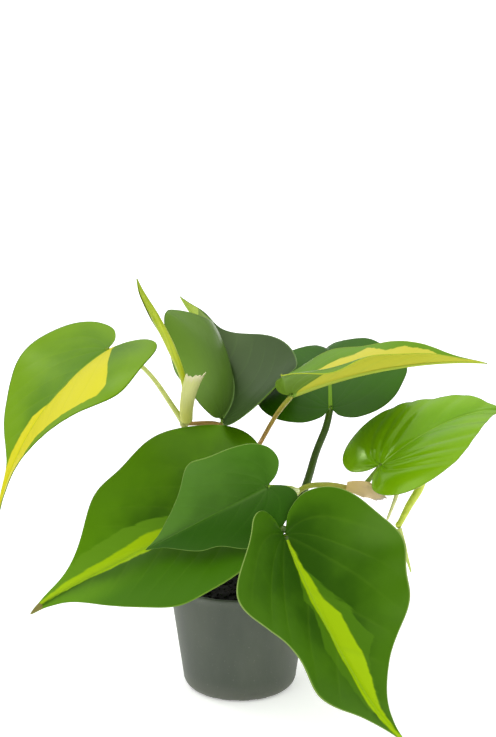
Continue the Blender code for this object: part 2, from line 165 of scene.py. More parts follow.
def finish(shader, colour, roughness=None, height=None, strength=0.2, distance=0.3):
    """Plugs a colour, a roughness and a height, whose depth is in millimetres, into a shader."""
    tree = colour.tree
    plug(tree, shader.inputs["Base Color"], colour)
    if roughness is not None:
        plug(tree, shader.inputs["Roughness"], roughness)
    if height is not None:
        sockets = {"Height": height, "Strength": strength, "Distance": distance * MM}
        plug(tree, shader.inputs["Normal"], colour.node("Bump", sockets))


print("dark leaf green as linear light:", [round(c, 3) for c in srgb(58, 100, 8)])


# %% Objects from a bmesh, and how a piece takes its node's place
def as_object(name, bm, materials=()):
    """Links a bmesh in metres as a smooth object at the origin."""
    mesh = bpy.data.meshes.new(name)
    bm.to_mesh(mesh)
    bm.free()
    mesh.shade_smooth()
    for material in materials:
        mesh.materials.append(material)
    piece = bpy.data.objects.new(name, mesh)
    bpy.context.scene.collection.objects.link(piece)
    return piece


def bake_modifiers(piece):
    """Gives the piece the mesh that its modifiers make of it."""
    graph = bpy.context.evaluated_depsgraph_get()
    mesh = bpy.data.meshes.new_from_object(piece.evaluated_get(graph))
    piece.modifiers.clear()
    piece.data = mesh
    mesh.shade_smooth()


def stands_for(piece, node, slot):
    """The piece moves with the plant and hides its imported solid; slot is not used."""
    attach(piece, "root")
    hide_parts(node)


# %% [markdown]
# ## The blades
# A heartleaf blade is flat only on paper. It droops from its stalk, its halves fold up from the
# midrib like an open book, its margin waves a little and its tip is drawn out to let water drip
# off. One blade is described by where its notch is, which way it points, its size and its
# bends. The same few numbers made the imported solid; here they bend a much finer grid.


# %% The flat heart and what bends it
HEART = [
    (0.0, 0.0), (-0.09, 0.055), (-0.145, 0.16), (-0.12, 0.29), (-0.02, 0.385), (0.14, 0.42),
    (0.33, 0.385), (0.52, 0.28), (0.68, 0.16), (0.81, 0.07), (0.91, 0.027), (1.0, 0.0),
]
WIDEST = 0.42
NOTCH_SHARE = 1 / 18
RIB_START, RIB_POWER = 0.35, 1.35
LOBE_REACH = 0.2
HOOK_START = 0.7
WAVE_SPAN, SWELL_SPAN = 0.16, 0.12


class Leaf:
    """One blade: its place, direction, size and bends, in millimetres and degrees."""

    def __init__(self, at, heading, pitch, roll, length, width, droop, sweep, twist, hook,
                 left, right, lobes_up=0, waves=(), swells=()):
        self.at, self.heading, self.pitch, self.roll = at, heading, pitch, roll
        self.length, self.width = length, width
        self.droop, self.sweep, self.twist, self.hook = droop, sweep, twist, hook
        self.left, self.right, self.lobes_up = left, right, lobes_up
        self.waves, self.swells = waves, swells

    def axes(self):
        """Along the midrib, to its left, and out of the upper face, at the notch."""
        heading, pitch, roll = np.radians((self.heading, self.pitch, self.roll))
        along = np.array((math.cos(heading) * math.cos(pitch),
                          math.sin(heading) * math.cos(pitch), math.sin(pitch)))
        level = np.array((-math.sin(heading), math.cos(heading), 0.0))
        upright = np.cross(along, level)
        left = level * math.cos(roll) + upright * math.sin(roll)
        return along, left, np.cross(along, left)

    def under_notch(self):
        """Where the stalk meets the blade, just inside its thickness."""
        return tuple(np.array(self.at) - 0.25 * self.axes()[2])


LEAVES = {
    "leaf_upper_left": Leaf(
        (-53, -10, 148), heading=221, pitch=-19, roll=0, length=83, width=60,
        droop=55, sweep=0, twist=12, hook=2, left=(12, -16), right=(8, 5),
        waves=[(LEFT, 0.25, -0.06), (RIGHT, 0.25, 0.03)],
        swells=[(LEFT, 0.6, -0.15), (LEFT, 0.77, -0.4), (RIGHT, 0.8, -0.5)]),
    "leaf_lower_left": Leaf(
        (2, -14, 87), heading=187, pitch=-26, roll=-33, length=101, width=75,
        droop=2, sweep=0, twist=-36, hook=21, left=(23, -16), right=(21, -7),
        waves=[(RIGHT, 0.25, 0.06)],
        swells=[(LEFT, 0.45, 0.1), (LEFT, 0.68, 0.12), (RIGHT, 0.55, 0.2), (RIGHT, 0.8, -0.2)]),
    "leaf_small_front": Leaf(
        (11, -40, 100), heading=189, pitch=-26, roll=-61, length=61, width=40,
        droop=43, sweep=-7, twist=3, hook=-2, left=(6, -24), right=(17, -3),
        waves=[(RIGHT, 0.25, 0.06)],
        swells=[(LEFT, -0.05, -0.2), (LEFT, 0.45, -0.2), (RIGHT, 0.4, 0.25)]),
    "leaf_lower_right": Leaf(
        (18, -49, 83), heading=-33, pitch=-64, roll=11, length=92, width=72,
        droop=-26, sweep=-4, twist=12, hook=-19, left=(41, -5), right=(14, -4),
        waves=[(LEFT, 0.25, 0.11), (LEFT, 0.62, 0.07), (RIGHT, 0.55, 0.05)],
        swells=[(LEFT, 0.5, 0.22), (RIGHT, -0.1, -0.3), (RIGHT, 0.15, 0.15), (RIGHT, 0.42, -0.12),
                (RIGHT, 0.7, 0.6), (RIGHT, 0.85, 0.4)]),
    "leaf_right": Leaf(
        (58, -8, 99), heading=24, pitch=35, roll=14, length=73, width=49,
        droop=50, sweep=4, twist=14, hook=28, left=(18, -36), right=(21, -44),
        waves=[(LEFT, 0.62, -0.04), (RIGHT, 0.62, 0.06)],
        swells=[(LEFT, 0.75, 0.5)]),
    "leaf_folded_right": Leaf(
        (21, -20, 132), heading=1, pitch=22, roll=-15, length=79, width=45,
        droop=24, sweep=0, twist=5, hook=2, left=(46, -49), right=(47, -46), lobes_up=600,
        waves=[(LEFT, 0.25, 0.05), (RIGHT, 0.25, -0.07), (LEFT, 0.62, 0.1), (RIGHT, 0.62, -0.07)],
        swells=[(LEFT, 0.75, 0.35)]),
    "leaf_back_right": Leaf(
        (38, 14, 117), heading=88, pitch=20, roll=-4, length=87, width=64,
        droop=31, sweep=5, twist=1, hook=26, left=(20, -32), right=(28, -28),
        waves=[(LEFT, 0.25, -0.07), (RIGHT, 0.62, 0.05)],
        swells=[(RIGHT, 0.2, 0.08)]),
    "leaf_upper_middle": Leaf(
        (-7, 12, 113), heading=70, pitch=11, roll=-18, length=92, width=68,
        droop=-42, sweep=60, twist=7, hook=-40, left=(109, -97), right=(1, 38),
        waves=[(LEFT, 0.25, 0.2), (LEFT, 0.5, 0.12), (RIGHT, 0.25, -0.06)],
        swells=[(LEFT, 0.45, 0.24), (LEFT, 0.7, -0.05), (LEFT, 0.93, 1.2), (RIGHT, 0.75, -0.35),
                (RIGHT, 0.93, 1.2)]),
}
print("leaves:", len(LEAVES), "longest:", max(leaf.length for leaf in LEAVES.values()), "mm")


# %% Curves through a few points, and the bent midrib
def smooth_path(points, shares):
    """Catmull-Rom curve through the points, read at shares of the way from first to last."""
    points = np.array(points, float)
    spans = len(points) - 1
    ends = np.vstack([2 * points[0] - points[1], points, 2 * points[-1] - points[-2]])
    place = np.clip(np.asarray(shares, float) * spans, 0, spans - 1e-9)
    index = place.astype(int)
    t = (place - index)[:, None]
    a, b, c, d = ends[index], ends[index + 1], ends[index + 2], ends[index + 3]
    return 0.5 * (2 * b + (c - a) * t + (2 * a - 5 * b + 4 * c - d) * t**2
                  + (3 * b - a - 3 * c + d) * t**3)


def read_along(values, share, u):
    """Rows of values, given at each share, read at the shares u."""
    return np.stack([np.interp(u, share, column) for column in values.T], axis=-1)


def midrib(leaf, u):
    """Point, left direction and upper normal of the bent midrib at each share u of its length."""
    share = np.linspace(-LOBE_REACH, 1, 241)
    tip = np.clip((share - HOOK_START) / (1 - HOOK_START), 0, 1) ** 2
    dip = np.radians(leaf.droop * share + leaf.hook * tip - leaf.lobes_up * np.minimum(share, 0))
    sway = np.radians(leaf.sweep * share)[:, None]
    twist = np.radians(leaf.twist * share)[:, None]
    dip = dip[:, None]
    along, left, up = leaf.axes()
    forward = np.cos(dip) * (np.cos(sway) * along + np.sin(sway) * left) - np.sin(dip) * up
    aside = np.cos(sway) * left - np.sin(sway) * along
    above = np.cross(forward, aside)
    left_now = aside * np.cos(twist) + above * np.sin(twist)
    up_now = above * np.cos(twist) - aside * np.sin(twist)
    steps = (forward[1:] + forward[:-1]) / 2 * leaf.length * (share[1] - share[0])
    points = np.vstack([np.zeros(3), np.cumsum(steps, axis=0)])
    points += np.array(leaf.at) - read_along(points, share, np.zeros(1))
    return tuple(read_along(values, share, u) for values in (points, left_now, up_now))


# %% [markdown]
# ### Veins
# Side veins leave the midrib at a slant and arch towards the tip, and the lowest ones fan back
# into the lobes. vein_phase gives every point of the flat heart a number that is the same along
# one vein, so whole numbers of it are veins. The mesh uses it to quilt the blade a little
# between its veins, and the material uses the same formula to colour them.

# %% Vein pattern on the flat heart
FAN_STEP = 0.6
RIB_GROOVE, RIB_WIDTH = 0.3, 0.010


class Veins:
    """Side veins: their step along the midrib, slant, arch, depth in millimetres and paint."""

    def __init__(self, step=0.17, slant=0.8, arch=2.6, depth=0.05, paint=0.06):
        self.step, self.slant, self.arch = step, slant, arch
        self.depth, self.paint = depth, paint


def vein_phase(x, y, veins):
    """Number of the vein at a flat place: x along the midrib, y across it, in lengths."""
    away = np.abs(y)
    arched = x - veins.arch * away**2
    slanted = (arched - veins.slant * away) / veins.step
    fan = (np.arctan2(away, arched) - math.atan2(1, veins.slant)) / -FAN_STEP
    return np.where(slanted > 0, slanted, fan)


def relief(x, y, veins):
    """Height in millimetres that the veins press into the blade's upper face."""
    distance = np.abs((vein_phase(x, y, veins) + 0.5) % 1 - 0.5)
    valley = np.exp(-(distance / 0.2) ** 2) * np.clip(np.abs(y) / 0.03, 0, 1)
    groove = np.exp(-(y / RIB_WIDTH) ** 2) * (x > -0.01)
    return -veins.depth * valley - RIB_GROOVE * groove


# %% The grid becomes a blade
BLADE_ROWS, BLADE_COLUMNS = 130, 40
BLADE_THICKNESS, RIB_THICKNESS = 0.36, 1.3


def on_blade(leaf, share, across, veins):
    """Bent place and flat place of points given by margin share and share across a half."""
    outline = smooth_path(HEART, share)
    edge_u, edge_half = outline[:, 0], outline[:, 1]
    away = np.abs(across)
    foot = np.clip((share - RIB_START) / (1 - RIB_START), 0, 1) ** RIB_POWER
    u = foot * (1 - away) + edge_u * away
    side = np.sign(across)
    half = edge_half * away
    for where, place, more in leaf.swells:
        half = half * (1 + more * np.exp(-((u - place) / SWELL_SPAN) ** 2) * (side == where))
    widest = leaf.width / 2
    half = half * widest / WIDEST
    flat = np.stack([u, side * half / widest * WIDEST], axis=-1)
    middle, left, up = midrib(leaf, u)
    fold = np.radians(np.where(side > 0, leaf.left[0], leaf.right[0]))
    bend = np.radians(np.where(side > 0, leaf.left[1], leaf.right[1])) / widest
    bend = np.where(np.abs(bend) < 1e-6, 1e-6, bend)
    turn = fold + bend * half
    out = (np.sin(turn) - np.sin(fold)) / bend
    lift = (np.cos(fold) - np.cos(turn)) / bend
    for where, place, more in leaf.waves:
        wave = more * leaf.length * np.exp(-((u - place) / WAVE_SPAN) ** 2)
        lift = lift + wave * (half / widest) ** 2 * (side == where)
    ups = np.cos(turn)[:, None] * up - (np.sin(turn) * side)[:, None] * left
    points = middle + left * (out * side)[:, None] + up * lift[:, None]
    return points + ups * relief(flat[:, 0], flat[:, 1], veins)[:, None], flat


def make_blade(name, leaf, veins, materials):
    """Bends a fine grid into the blade, and gives it thickness, a thicker rib and its UV maps."""
    bm = bmesh.new()
    bmesh.ops.create_grid(bm, x_segments=2 * BLADE_COLUMNS, y_segments=BLADE_ROWS, size=0.5)
    rest = np.array([vert.co for vert in bm.verts])
    share = NOTCH_SHARE + (rest[:, 1] + 0.5) * (1 - NOTCH_SHARE)
    across = -2 * rest[:, 0]
    places, flat = on_blade(leaf, share, across, veins)
    flat_map = bm.loops.layers.uv.new("flat")
    edge_map = bm.loops.layers.uv.new("margin")
    for face in bm.faces:
        for loop in face.loops:
            index = loop.vert.index
            loop[flat_map].uv = flat[index]
            loop[edge_map].uv = (abs(across[index]), share[index])
    ribs = bm.verts.layers.deform.verify()
    for vert, place, (x, y) in zip(bm.verts, places, flat):
        vert.co = place * MM
        rib = math.exp(-(y / RIB_WIDTH) ** 2) * max(0.0, min(1.0, 1.05 - x)) * (x > -0.02)
        vert[ribs][0] = (BLADE_THICKNESS + rib * (RIB_THICKNESS - BLADE_THICKNESS)) / RIB_THICKNESS
    bmesh.ops.remove_doubles(bm, verts=bm.verts, dist=0.02 * MM)
    bm.normal_update()
    bm.faces.ensure_lookup_table()
    upper = bm.faces[0].normal.copy()
    bmesh.ops.recalc_face_normals(bm, faces=bm.faces)
    if bm.faces[0].normal.dot(upper) < 0:
        bmesh.ops.reverse_faces(bm, faces=bm.faces)
    blade = as_object(name, bm, materials)
    blade.vertex_groups.new(name="thickness")
    sheet = blade.modifiers.new("thickness", "SOLIDIFY")
    sheet.thickness = RIB_THICKNESS * MM
    sheet.offset = -1
    sheet.vertex_group = "thickness"
    sheet.material_offset = 1
    return blade


# %% [markdown]
# ## The finish of a blade
# Heartleaf blades are smooth and waxy, so they mirror soft light. What makes this plant special
# is its paint: yellow and lime stripes that run from the notch to the tip, with ragged edges
# that follow the side veins. Each stripe is a band between two lines drawn on the flat heart,
# and a noise that is stretched along the veins tears its edges.


# %% Flat coordinates, veins and torn edges in a material
def flat_place(wire):
    """x along the midrib and y across it, from the blade's own flat map."""
    uv = wire.node("UVMap", uv_map="flat")
    x = uv.node("SeparateXYZ", {"Vector": uv})
    return uv, x, Wire(x.tree, x.socket.node.outputs["Y"])


def vein_lines(x, y, veins):
    """The vein number as wires, the same formula as for the mesh."""
    away = abs(y)
    arched = x - away * away * veins.arch
    slanted = (arched - away * veins.slant) / veins.step
    fan = (away.maths("ARCTAN2", away, arched) - math.atan2(1, veins.slant)) / -FAN_STEP
    above = slanted.maths("GREATER_THAN", slanted, 0.0)
    return above * slanted + (1 - above) * fan


def on_vein(phase, width):
    """1 on a vein and 0 away from it."""
    return 1 - abs((phase + 0.5).maths("FRACT", phase + 0.5) - 0.5).ramp(0.0, width)


def torn(phase, y, seed):
    """A noise around 0 that is long along the veins and short across them."""
    place = {"X": phase * 9 + seed, "Y": abs(y) * 22, "Z": y.maths("SIGN", y) * 7.0}
    spot = phase.node("CombineXYZ", place)
    grain = spot.node("TexNoise", {"Vector": spot, "Scale": 0.35, "Detail": 3.0, "Roughness": 0.6})
    return (grain - 0.5) * 4


# %% What a blade looks like
class Band:
    """A stripe on the flat heart between two lines, each a list of places x and heights y."""

    def __init__(self, colour, low, high, tear=0.012, soft=0.01):
        self.colour, self.low, self.high = colour, low, high
        self.tear, self.soft = tear, soft

    def over(self, colour, x, y, grain):
        """The colour with this band painted on it."""
        line = y + grain * self.tear
        inside = (line - line_height(x, self.low)).ramp(0.0, self.soft)
        inside = inside * (line_height(x, self.high) - line).ramp(0.0, self.soft)
        return inside.mix(colour, self.colour)


class Look:
    """A blade's colours near the rib, near the margin, on its veins, edge and underside."""

    def __init__(self, rib, margin, vein, edge, under, bands=(), under_bands=(),
                 roughness=0.35, shine=0.3, veins=Veins(), seed=0.0):
        self.rib, self.margin, self.vein, self.edge, self.under = rib, margin, vein, edge, under
        self.bands, self.under_bands = bands, under_bands
        self.roughness, self.shine, self.veins, self.seed = roughness, shine, veins, seed


# %% The upper face and the underside
LEAF_GLOSS = (0.6, 0.8, 0.3, 1.0)


def upper_material(name, look):
    """The waxy face: mottled green, painted stripes, thin pale edge, fine skin."""
    material, shader, wire = new_material(name, look.roughness, Specular_IOR_Level=look.shine,
                                          Specular_Tint=LEAF_GLOSS)
    uv, x, y = flat_place(wire)
    edge = wire.node("SeparateXYZ", {"Vector": wire.node("UVMap", uv_map="margin")})
    phase = vein_lines(x, y, look.veins)
    grain = torn(phase, y, look.seed)
    mottle = wire.node("TexNoise", {"Vector": uv, "Scale": 5.0, "Detail": 4.0})
    colour = (edge + (mottle - 0.5) * 1.1).ramp(0.1, 0.95).mix(look.rib, look.margin)
    for band in look.bands:
        colour = band.over(colour, x, y, grain)
    vein = on_vein(phase, 0.1) * abs(y).ramp(0.0, 0.02) * (1 - edge.ramp(0.6, 1.0))
    rib = (1 - abs(y).ramp(0.001, 0.007)) * x.ramp(-0.01, 0.0) * (1 - x.ramp(0.7, 1.0))
    colour = (vein * look.veins.paint).mix(colour, look.vein)
    colour = (rib * 0.4).mix(colour, look.vein)
    colour = edge.ramp(0.985, 0.993).mix(colour, look.edge)
    skin = wire.node("TexNoise", {"Vector": uv, "Scale": 160.0, "Detail": 2.0})
    finish(shader, colour, look.roughness + (mottle - 0.5) * 0.25,
           skin * 0.2 - vein * 0.25, strength=0.15, distance=0.5)
    return material


def under_material(name, look):
    """The paler, duller underside, with the rib and side veins standing out."""
    material, shader, wire = new_material(name, 0.5, Specular_IOR_Level=0.25,
                                          Specular_Tint=LEAF_GLOSS)
    uv, x, y = flat_place(wire)
    phase = vein_lines(x, y, look.veins)
    grain = torn(phase, y, look.seed)
    mottle = wire.node("TexNoise", {"Vector": uv, "Scale": 6.0, "Detail": 3.0})
    darker = tuple(c * 0.75 for c in look.under)
    colour = mottle.ramp(0.25, 0.75).mix(look.under, darker)
    for band in look.under_bands:
        colour = band.over(colour, x, y, grain)
    vein = on_vein(phase, 0.1)
    raised = vein.maths("MAXIMUM", vein * 0.3, 1 - abs(y).ramp(0.006, 0.014))
    colour = (raised * 0.5).mix(colour, tuple(min(1.0, c * 1.6 + 0.03) for c in look.under))
    finish(shader, colour, 0.45 + (mottle - 0.5) * 0.3, raised, strength=0.3, distance=0.4)
    return material


# %% [markdown]
# ### Colours of the eight leaves
# The two yellow and lime leaves caught the most light as they grew. The others are dark, and
# three of them carry the stripe: the large one at the left, the one that hangs in front of the
# pot and the folded one, whose stripe shows on both of its faces.

# %% Leaf colours and stripes
LIME, YELLOW = srgb(152, 184, 4), srgb(194, 188, 28)
MID_GREEN, DULL_UNDER = srgb(66, 108, 8), srgb(100, 135, 55)
LOOKS = {
    "leaf_upper_left": Look(
        srgb(76, 116, 0), srgb(100, 138, 0), srgb(130, 160, 10), srgb(84, 118, 10),
        srgb(120, 145, 40), shine=0.25, veins=Veins(depth=0.08), seed=3.0,
        bands=[
            Band(YELLOW,
                 [(0.0, 0.0), (0.2, 0.0), (0.3, 0.02), (0.4, 0.0), (0.5, -0.05), (0.7, -0.06),
                  (1.0, -0.03)],
                 [(-0.03, 0.03), (0.0, 0.05), (0.1, 0.17), (0.16, 0.25), (0.22, 0.31), (0.3, 0.33),
                  (0.4, 0.285), (0.5, 0.21), (0.6, 0.13), (0.7, 0.1), (0.85, 0.04), (1.0, 0.02)],
                 tear=0.006),
        ]),
    "leaf_lower_left": Look(
        srgb(46, 86, 0), srgb(80, 126, 2), srgb(110, 150, 30), srgb(100, 135, 40), DULL_UNDER,
        veins=Veins(depth=0.06), seed=11.0,
        bands=[
            Band(srgb(56, 102, 0), [(-0.2, 0.06), (1.0, 0.06)], [(-0.2, 0.6), (1.0, 0.6)],
                 tear=0.0, soft=0.12),
            Band(srgb(90, 134, 18),
                 [(0.2, -0.03), (0.35, -0.1), (0.5, -0.13), (0.7, -0.11), (0.9, -0.05)],
                 [(0.2, 0.0), (0.9, 0.0)], tear=0.012),
            Band(LIME,
                 [(0.0, -0.008), (0.25, -0.03), (0.42, -0.06), (0.6, -0.045), (0.8, -0.035),
                  (1.0, -0.01)],
                 [(0.0, 0.008), (0.25, 0.015), (0.42, 0.03), (0.55, 0.025), (0.7, 0.01),
                  (1.0, 0.0)], tear=0.005),
            Band(srgb(120, 112, 60),
                 [(0.93, 0.0), (0.96, -0.1), (1.0, -0.1)], [(0.93, 0.0), (0.96, 0.1), (1.0, 0.1)]),
        ]),
    "leaf_small_front": Look(
        srgb(44, 86, 8), srgb(62, 106, 22), srgb(70, 112, 30), srgb(110, 142, 60), DULL_UNDER,
        shine=0.4, seed=19.0,
        bands=[
            # Painted shade: the left half, below the midrib crease, is painted darker than the half
            # that catches the sheen.
            Band(srgb(30, 74, 0), [(-0.2, 0.0), (1.0, 0.0)], [(-0.2, 0.6), (1.0, 0.6)], tear=0.0,
                 soft=0.03),
        ]),
    "leaf_lower_right": Look(
        srgb(34, 72, 0), srgb(60, 102, 4), srgb(96, 136, 30), srgb(120, 146, 70), DULL_UNDER,
        veins=Veins(step=0.26, depth=0.12, paint=0.1), seed=27.0,
        bands=[
            Band(MID_GREEN,
                 [(0.05, -0.01), (0.2, -0.03), (0.28, -0.07), (0.34, -0.04), (0.42, -0.06),
                  (0.5, -0.09), (0.6, -0.08), (0.75, -0.05), (0.85, -0.03)],
                 [(0.05, 0.01), (0.2, 0.04), (0.3, 0.08), (0.4, 0.13), (0.55, 0.16), (0.62, 0.1),
                  (0.85, 0.02)], tear=0.015),
            Band(LIME,
                 [(0.0, -0.008), (0.1, -0.015), (0.3, -0.03), (0.4, -0.01), (0.6, -0.02),
                  (0.8, -0.03), (1.0, -0.01)],
                 [(0.0, 0.008), (0.1, 0.018), (0.2, 0.03), (0.3, 0.045), (0.4, 0.085),
                  (0.6, 0.085), (0.7, 0.065), (0.8, 0.03), (1.0, 0.01)], tear=0.006),
        ]),
    "leaf_right": Look(
        srgb(104, 154, 2), srgb(114, 160, 8), srgb(136, 172, 40), srgb(120, 155, 30),
        srgb(125, 160, 60), roughness=0.2, shine=0.6, seed=35.0,
        veins=Veins(step=0.36, slant=1.2, arch=3.0, depth=0.5, paint=0.1)),
    "leaf_folded_right": Look(
        srgb(84, 124, 4), srgb(92, 134, 10), srgb(130, 160, 40), srgb(160, 175, 50),
        srgb(100, 134, 34), seed=43.0,
        bands=[
            Band(srgb(190, 184, 62),
                 [(0.1, 0.06), (0.3, 0.1), (0.45, 0.1), (0.6, 0.05), (0.8, 0.02)],
                 [(0.1, 0.12), (0.2, 0.19), (0.35, 0.24), (0.42, 0.3), (0.5, 0.2), (0.6, 0.19),
                  (0.72, 0.13), (0.8, 0.03)], tear=0.015),
        ],
        under_bands=[
            Band(srgb(180, 180, 54),
                 [(0.0, 0.0), (0.1, -0.06), (0.2, -0.14), (0.3, -0.24), (0.4, -0.36),
                  (0.5, -0.6), (1.0, -0.6)],
                 [(0.0, 0.05), (1.0, 0.05)], tear=0.02),
        ]),
    "leaf_back_right": Look(
        srgb(40, 82, 0), srgb(46, 90, 0), srgb(76, 116, 20), srgb(60, 96, 20), DULL_UNDER,
        roughness=0.4, shine=0.12, seed=51.0,
        bands=[
            Band(srgb(104, 142, 14), [(0.0, -0.013), (0.4, -0.01), (0.7, 0.0)],
                 [(0.0, 0.013), (0.4, 0.01), (0.7, 0.0)], tear=0.0, soft=0.004),
        ]),
    "leaf_upper_middle": Look(
        srgb(84, 118, 36), srgb(92, 126, 40), srgb(96, 135, 60), srgb(80, 112, 40),
        srgb(116, 144, 50), seed=59.0,
        under_bands=[
            Band(srgb(158, 178, 70),
                 [(0.84, 0.0), (0.88, -0.1), (1.0, -0.1)], [(0.84, 0.0), (0.88, 0.1), (1.0, 0.1)]),
        ],
        bands=[
            # The right half's upper face is painted dark grey-green: partly its own darker green,
            # partly painted shade and dull reflection of the half that turns from the light.
            Band(srgb(48, 70, 30), [(-0.2, -0.6), (1.0, -0.6)], [(-0.2, 0.0), (1.0, 0.0)],
                 tear=0.0),
        ]),
}

# %% Make the blades
LIGHT_LEAVES = ("leaf_upper_left", "leaf_right", "leaf_folded_right")
for name, leaf in LEAVES.items():
    look = LOOKS[name]
    faces = [upper_material(name + "_upper", look), under_material(name + "_under", look)]
    blade = make_blade(name.replace("leaf_", "blade_"), leaf, look.veins, faces)
    stands_for(blade, name, "leaf_light" if name in LIGHT_LEAVES else "leaf_dark")
    print(blade.name, len(blade.data.polygons), "faces")

# %% [markdown]
# ## Vines and leaf stalks
# A stalk grows out of a swollen knot on the stem, without a seam. Round-ended tubes and small
# balls make the rough shape, a voxel remesh melts them into one skin, and a smoothing rounds
# the joints off. The skin has lost the tubes' own colours by then, so each of its points takes
# the colour of the stalk that is nearest.


# %% A grid bent around a path
def sweep(bm, points, shape, rows, columns, facing=(0, -1, 0.2)):
    """Adds a grid around a path. From the shares along and around it, shape works out the share
    of the path, the radius in millimetres and the angle from facing."""
    made = bmesh.ops.create_grid(bm, x_segments=columns, y_segments=rows, size=0.5)["verts"]
    around = np.array([vert.co.x + 0.5 for vert in made])
    along = np.array([vert.co.y + 0.5 for vert in made])
    share, radius, angle = shape(along, around)
    fine = np.linspace(0, 1, 121)
    path = smooth_path(points, fine)
    ahead = np.gradient(path, axis=0)
    ahead /= np.linalg.norm(ahead, axis=1)[:, None]
    front = np.array(facing, float) - ahead * (ahead @ np.array(facing, float))[:, None]
    front /= np.linalg.norm(front, axis=1)[:, None]
    aside = np.cross(ahead, front)
    centre, front, aside = (read_along(values, fine, share) for values in (path, front, aside))
    turned = np.cos(angle)[:, None] * front + np.sin(angle)[:, None] * aside
    for vert, place in zip(made, centre + radius[:, None] * turned):
        vert.co = place * MM
    return along, around


# %% Stalks and knots
STALK_ROW, STALK_SIDES = 0.4, 12
SKIN = 0.28


class Stalk:
    """A tube through points, with its radii and colours spread evenly from start to end."""

    def __init__(self, points, radii, colours):
        self.points, self.radii, self.colours = points, radii, colours

    def read(self, values, share):
        """Values that are spread evenly along the stalk, read at the shares."""
        values = np.array(values, float).reshape(len(values), -1)
        return read_along(values, np.linspace(0, 1, len(values)), share)

    def add(self, bm):
        path = smooth_path(self.points, np.linspace(0, 1, 60))
        length = np.linalg.norm(np.diff(path, axis=0), axis=1).sum()

        def shape(along, around):
            radius = self.read(self.radii, along)[:, 0]
            to_end = np.minimum(along, 1 - along) * length
            cap = np.sqrt(1 - (1 - np.clip(to_end / radius, 0, 1)) ** 2)
            return along, radius * cap, 2 * math.pi * around

        sweep(bm, self.points, shape, int(length / STALK_ROW), STALK_SIDES)


def add_knot(bm, centre, radius):
    place = Matrix.Translation(Vector(centre) * MM)
    bmesh.ops.create_uvsphere(bm, u_segments=20, v_segments=12, radius=radius * MM, matrix=place)


def paint(piece, stalks):
    """Stores the colour of the nearest stalk on every point of the piece."""
    mesh = piece.data
    places = np.empty(3 * len(mesh.vertices))
    mesh.vertices.foreach_get("co", places)
    places = places.reshape(-1, 1, 3) / MM
    share = np.linspace(0, 1, 90)
    total, weights = 0.0, 0.0
    for stalk in stalks:
        gaps = np.linalg.norm(places - smooth_path(stalk.points, share), axis=2)
        nearest = gaps.argmin(axis=1)
        beyond = gaps.min(axis=1) - stalk.read(stalk.radii, share[nearest])[:, 0]
        weight = np.exp(-np.maximum(beyond, 0.0) / 0.4)[:, None]
        total = total + weight * stalk.read(stalk.colours, share[nearest])
        weights = weights + weight
    colours = np.hstack([total / weights, np.ones((len(places), 1))])
    layer = mesh.color_attributes.new("paint", "FLOAT_COLOR", "POINT")
    layer.data.foreach_set("color", colours.ravel())


# %% Where the vines run
DARK_STALK, SOIL_STALK = srgb(58, 84, 12), srgb(70, 78, 34)
GREEN_STALK, PALE_STALK = srgb(110, 144, 30), srgb(208, 216, 124)
BROWN, ORANGE, OLIVE = srgb(200, 150, 90), srgb(184, 142, 72), srgb(150, 158, 44)
LIME_STALK, ROOT_COLOUR = srgb(206, 220, 76), srgb(232, 232, 168)


def tip_of(name):
    return LEAVES["leaf_" + name].under_notch()


